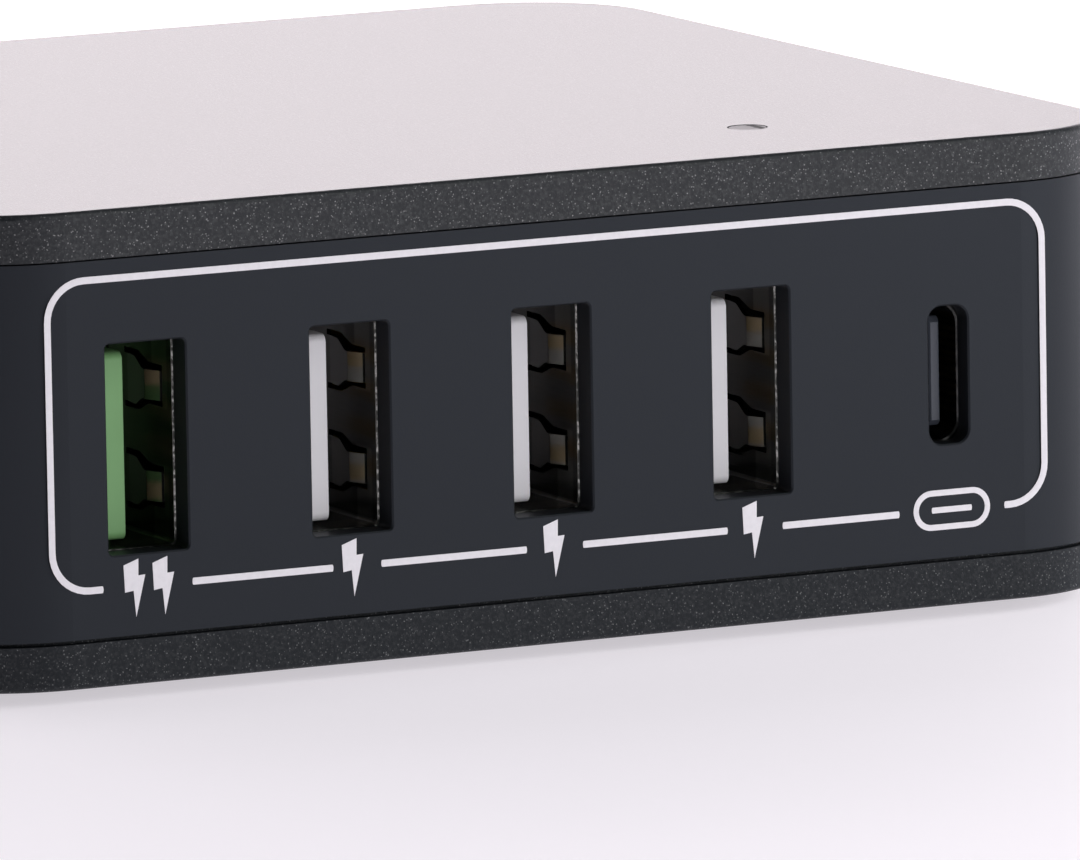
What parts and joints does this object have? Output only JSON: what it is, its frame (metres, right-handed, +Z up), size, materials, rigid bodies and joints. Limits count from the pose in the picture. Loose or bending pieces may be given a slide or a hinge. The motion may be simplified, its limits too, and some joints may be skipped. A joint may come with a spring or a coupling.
{
  "type": "multi port usb desktop charger",
  "caption": "Low square desktop mains charger with rounded corners, grained dark covers, a smooth dark middle band and a row of upright charging ports.",
  "frame": {"origin": "on the table under the middle of the case, level with the feet", "axes": "+X to the right when the ports are seen from the front, -Y out of the port side, +Z up"},
  "size_m": [0.082, 0.077, 0.0294],
  "materials": {
    "grained_plastic": "fine grained, with small glints",
    "satin_plastic": "smooth satin",
    "foot_rubber": "matte",
    "screw_steel": "dark zinc",
    "light_pipe": "smoked, polished end",
    "shell_steel": "nickel plated sheet",
    "green_tongue": "satin",
    "white_tongue": "satin",
    "black_tongue": "semi-gloss",
    "contact_metal": "gold plated",
    "circuit_board": "green solder mask",
    "insulation": "pale sheet",
    "led_body": "pale moulding",
    "black_epoxy": "moulded epoxy",
    "ferrite": "dark sintered",
    "inlet_plastic": "satin",
    "pin_metal": "nickel plated",
    "fuse_plastic": "brown",
    "film_capacitor": "yellow box",
    "copper_wire": "enamelled copper",
    "capacitor_sleeve": "dark sleeve",
    "bobbin_plastic": "black",
    "winding_tape": "yellow tape",
    "heat_sink_metal": "extruded",
    "disc_ceramic": "blue coating"
  },
  "bodies": {
    "root": {"top_cover": "grained_plastic", "bottom_cover": "grained_plastic", "middle_frame": "satin_plastic", "rubber_foot_1": "foot_rubber", "rubber_foot_2": "foot_rubber", "rubber_foot_3": "foot_rubber", "rubber_foot_4": "foot_rubber", "case_screws": "screw_steel", "led_lens": "light_pipe", "usb_a_shell_1": "shell_steel", "usb_a_shell_2": "shell_steel", "usb_a_shell_3": "shell_steel", "usb_a_shell_4": "shell_steel", "usb_c_shell": "shell_steel", "usb_a_tongue_1": "green_tongue", "usb_a_tongue_2": "white_tongue", "usb_a_tongue_3": "white_tongue", "usb_a_tongue_4": "white_tongue", "usb_c_tongue": "black_tongue", "usb_a_contacts_1": "contact_metal", "usb_a_contacts_2": "contact_metal", "usb_a_contacts_3": "contact_metal", "usb_a_contacts_4": "contact_metal", "usb_c_contacts": "contact_metal", "main_board": "circuit_board", "pd_board": "circuit_board", "insulation_sheet": "insulation", "status_led": "led_body", "pd_controller": "black_epoxy", "bridge_rectifier": "black_epoxy", "primary_transistor": "black_epoxy", "secondary_transistor": "black_epoxy", "pd_inductor": "ferrite", "buck_inductor_1": "ferrite", "buck_inductor_2": "ferrite", "choke_core": "ferrite", "transformer_core": "ferrite", "ac_inlet": "inlet_plastic", "inlet_pins": "pin_metal", "fuse": "fuse_plastic", "x_capacitor": "film_capacitor", "choke_windings": "copper_wire", "bulk_capacitor_1": "capacitor_sleeve", "bulk_capacitor_2": "capacitor_sleeve", "output_capacitor_1": "capacitor_sleeve", "output_capacitor_2": "capacitor_sleeve", "output_capacitor_3": "capacitor_sleeve", "transformer_bobbin": "bobbin_plastic", "transformer_winding": "winding_tape", "primary_heat_sink": "heat_sink_metal", "secondary_heat_sink": "heat_sink_metal", "y_capacitor": "disc_ceramic"}
  },
  "joints": []
}
